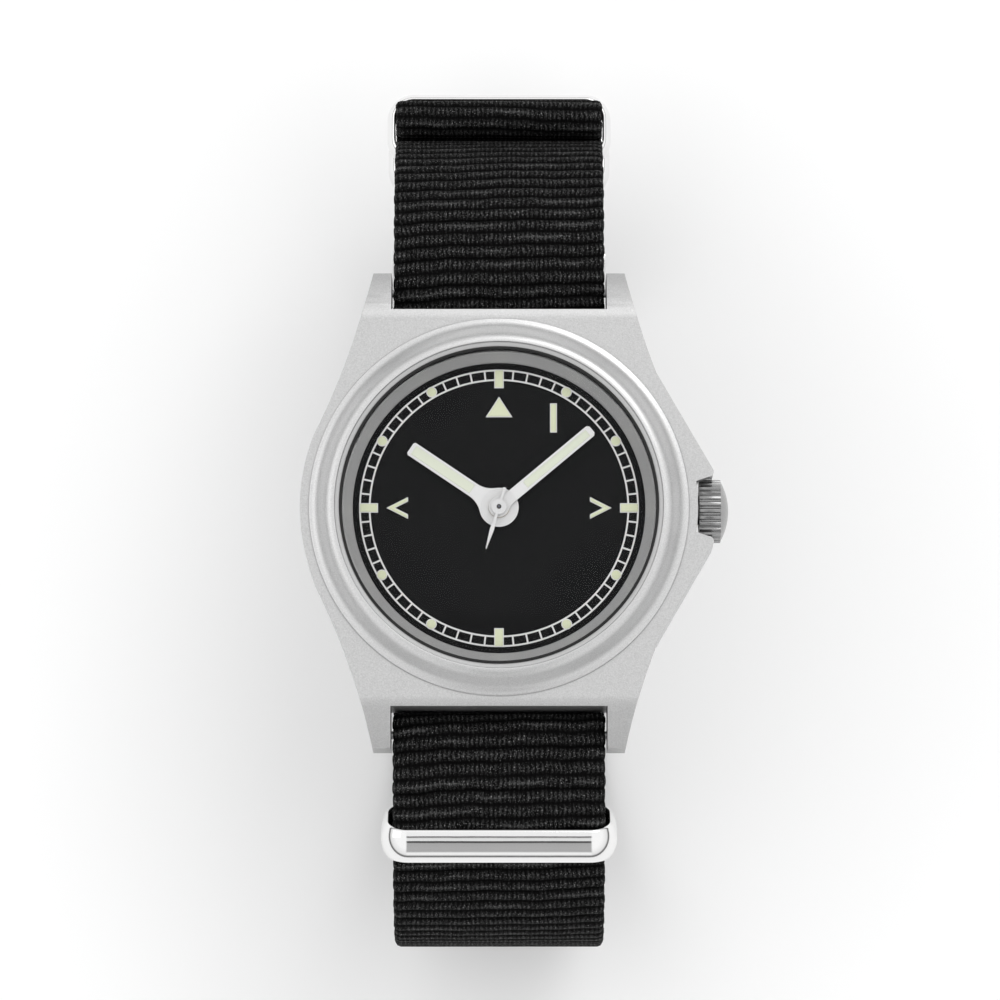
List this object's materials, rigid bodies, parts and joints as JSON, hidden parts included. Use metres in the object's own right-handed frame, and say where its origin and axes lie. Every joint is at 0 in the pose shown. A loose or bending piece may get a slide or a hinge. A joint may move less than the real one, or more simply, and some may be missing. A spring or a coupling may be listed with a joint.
{
  "type": "quartz wristwatch",
  "caption": "Steel three-hand quartz wristwatch with matte black luminous dial, guarded crown and ribbed black nylon strap closed through steel rings.",
  "frame": {"origin": "centre of the flat underside of the closed strap, on the floor, straight below the hands' axis", "axes": "+Z out through the dial, +Y towards 12 o'clock, +X towards the crown"},
  "size_m": [0.0397, 0.0816, 0.0475],
  "materials": {
    "blasted_steel": "fine bead-blasted",
    "polished_steel": "polished",
    "satin_steel": "fine satin",
    "movement_steel": "brushed",
    "crystal": "clear, flat, bevelled edge",
    "rubber": "smooth",
    "dial_black": "matte",
    "lume": "matte luminous paint",
    "hand_white": "satin paint",
    "brass": "plain",
    "copper_wire": "enamelled wire",
    "magnet": "ground",
    "holder_plastic": "moulded",
    "board_green": "solder mask",
    "chip_black": "moulded",
    "webbing": "ribbed nylon webbing",
    "thread": "nylon thread"
  },
  "bodies": {
    "case": {"mid_case": "blasted_steel", "bezel": "blasted_steel", "crystal": "crystal", "crystal_gasket": "rubber", "dial_ring": "satin_steel", "case_back": "blasted_steel", "case_back_gasket": "rubber", "crown_tube": "satin_steel", "movement_ring": "holder_plastic", "dial": "dial_black", "dial_markings": "lume", "main_plate": "brass", "train_bridge": "movement_steel", "bridge_screws": "movement_steel", "stator": "movement_steel", "coil_core": "movement_steel", "coil_winding": "copper_wire", "circuit_board": "board_green", "driver_chip": "chip_black", "quartz_can": "movement_steel", "battery": "movement_steel", "battery_clamp": "movement_steel", "spring_bar_tubes": "movement_steel", "bar_spring_12": "movement_steel", "bar_spring_6": "movement_steel", "strap_long": "webbing", "strap_short": "webbing", "strap_stitching": "thread"},
    "minute": {"centre_wheel": "brass", "cannon_pinion": "movement_steel", "minute_hand": "hand_white", "minute_hand_lume": "lume"},
    "hour": {"hour_wheel": "brass", "hour_hand": "hand_white", "hour_hand_lume": "lume"},
    "seconds": {"seconds_wheel": "brass", "second_hand": "hand_white"},
    "third": {"third_wheel": "brass"},
    "intermediate": {"intermediate_wheel": "brass"},
    "rotor": {"rotor": "magnet"},
    "minute_wheel": {"minute_wheel": "brass"},
    "setting_wheel": {"setting_wheel": "movement_steel"},
    "yoke": {"yoke": "movement_steel"},
    "sliding_pinion": {"sliding_pinion": "movement_steel"},
    "crown": {"crown": "blasted_steel", "winding_stem": "movement_steel", "crown_gasket": "rubber"},
    "setting_lever": {"setting_lever": "movement_steel"},
    "bar_tip_12_left": {"bar_tip_12_left": "movement_steel"},
    "bar_tip_12_right": {"bar_tip_12_right": "movement_steel"},
    "bar_tip_6_left": {"bar_tip_6_left": "movement_steel"},
    "bar_tip_6_right": {"bar_tip_6_right": "movement_steel"},
    "keeper_upper": {"keeper_upper": "polished_steel"},
    "keeper_lower": {"keeper_lower": "polished_steel"},
    "end_ring": {"end_ring": "polished_steel"},
    "buckle": {"buckle_frame": "polished_steel"},
    "tongue": {"buckle_tongue": "polished_steel"}
  },
  "joints": [
    {"name": "minute_turn", "type": "hinge", "parent": "case", "child": "minute", "pos_m": [0, 0, 0.044], "axis": [0, 0, -1], "continuous": true},
    {"name": "hour_turn", "type": "hinge", "parent": "case", "child": "hour", "pos_m": [0, 0, 0.044], "axis": [0, 0, -1], "continuous": true},
    {"name": "seconds_turn", "type": "hinge", "parent": "case", "child": "seconds", "pos_m": [0, 0, 0.044], "axis": [0, 0, -1], "continuous": true},
    {"name": "third_turn", "type": "hinge", "parent": "case", "child": "third", "pos_m": [-0.00234, 0.00197, 0.0415], "axis": [0, 0, -1], "continuous": true},
    {"name": "intermediate_turn", "type": "hinge", "parent": "case", "child": "intermediate", "pos_m": [0.00075, -0.00278, 0.0415], "axis": [0, 0, -1], "continuous": true},
    {"name": "rotor_turn", "type": "hinge", "parent": "case", "child": "rotor", "pos_m": [0.00317, -0.00418, 0.0415], "axis": [0, 0, -1], "continuous": true},
    {"name": "minute_wheel_turn", "type": "hinge", "parent": "case", "child": "minute_wheel", "pos_m": [0.00272, 0.00127, 0.0434], "axis": [0, 0, -1], "continuous": true},
    {"name": "setting_wheel_turn", "type": "hinge", "parent": "case", "child": "setting_wheel", "pos_m": [0.00591, 0.0001, 0.043], "axis": [0, 0, -1], "continuous": true},
    {"name": "yoke_slide", "type": "slide", "parent": "case", "child": "yoke", "axis": [-1, 0, 0], "range_m": [0, 0.0003]},
    {"name": "crown_turn", "type": "hinge", "parent": "yoke", "child": "sliding_pinion", "pos_m": [0.012, 0, 0.0419], "axis": [1, 0, 0], "continuous": true},
    {"name": "crown_pull", "type": "slide", "parent": "sliding_pinion", "child": "crown", "axis": [1, 0, 0], "range_m": [0, 0.0013]},
    {"name": "setting_lever_swing", "type": "hinge", "parent": "case", "child": "setting_lever", "pos_m": [0.00975, 0.00255, 0.0412], "axis": [0, 0, 1], "range_deg": [0, 22]},
    {"name": "bar_tip_12_left_push", "type": "slide", "parent": "case", "child": "bar_tip_12_left", "axis": [1, 0, 0], "range_m": [0, 0.0008], "stiffness_N_per_m": 300, "springref_m": -0.0005},
    {"name": "bar_tip_12_right_push", "type": "slide", "parent": "case", "child": "bar_tip_12_right", "axis": [-1, 0, 0], "range_m": [0, 0.0008], "stiffness_N_per_m": 300, "springref_m": -0.0005},
    {"name": "bar_tip_6_left_push", "type": "slide", "parent": "case", "child": "bar_tip_6_left", "axis": [1, 0, 0], "range_m": [0, 0.0008], "stiffness_N_per_m": 300, "springref_m": -0.0005},
    {"name": "bar_tip_6_right_push", "type": "slide", "parent": "case", "child": "bar_tip_6_right", "axis": [-1, 0, 0], "range_m": [0, 0.0008], "stiffness_N_per_m": 300, "springref_m": -0.0005},
    {"name": "keeper_upper_slide", "type": "slide", "parent": "case", "child": "keeper_upper", "axis": [0, 0, 1], "range_m": [-0.0003, 0.0003]},
    {"name": "keeper_lower_slide", "type": "hinge", "parent": "case", "child": "keeper_lower", "pos_m": [0, 0.0151, 0.02262], "axis": [1, 0, 0], "range_deg": [-4, 0.8]},
    {"name": "end_ring_swing", "type": "hinge", "parent": "case", "child": "end_ring", "pos_m": [0, -0.02811, 0.03552], "axis": [1, 0, 0], "range_deg": [-6, 4]},
    {"name": "buckle_swing", "type": "hinge", "parent": "case", "child": "buckle", "pos_m": [0, 0.02958, 0.00815], "axis": [1, 0, 0], "range_deg": [0, 4]},
    {"name": "tongue_swing", "type": "hinge", "parent": "buckle", "child": "tongue", "pos_m": [0, 0.02958, 0.00815], "axis": [1, 0, 0], "range_deg": [0, 10]}
  ],
  "couplings": [
    {"joint": "hour_turn", "follows": "minute_turn", "ratio": 0.083333},
    {"joint": "seconds_turn", "follows": "minute_turn", "ratio": 60},
    {"joint": "third_turn", "follows": "minute_turn", "ratio": -8},
    {"joint": "intermediate_turn", "follows": "minute_turn", "ratio": -300},
    {"joint": "rotor_turn", "follows": "minute_turn", "ratio": 1800},
    {"joint": "minute_wheel_turn", "follows": "minute_turn", "ratio": -0.25},
    {"joint": "setting_wheel_turn", "follows": "minute_turn", "ratio": 0.6},
    {"joint": "yoke_slide", "follows": "crown_pull", "ratio": 0.23077},
    {"joint": "setting_lever_swing", "follows": "crown_pull", "rad_per_m": 295.36}
  ]
}
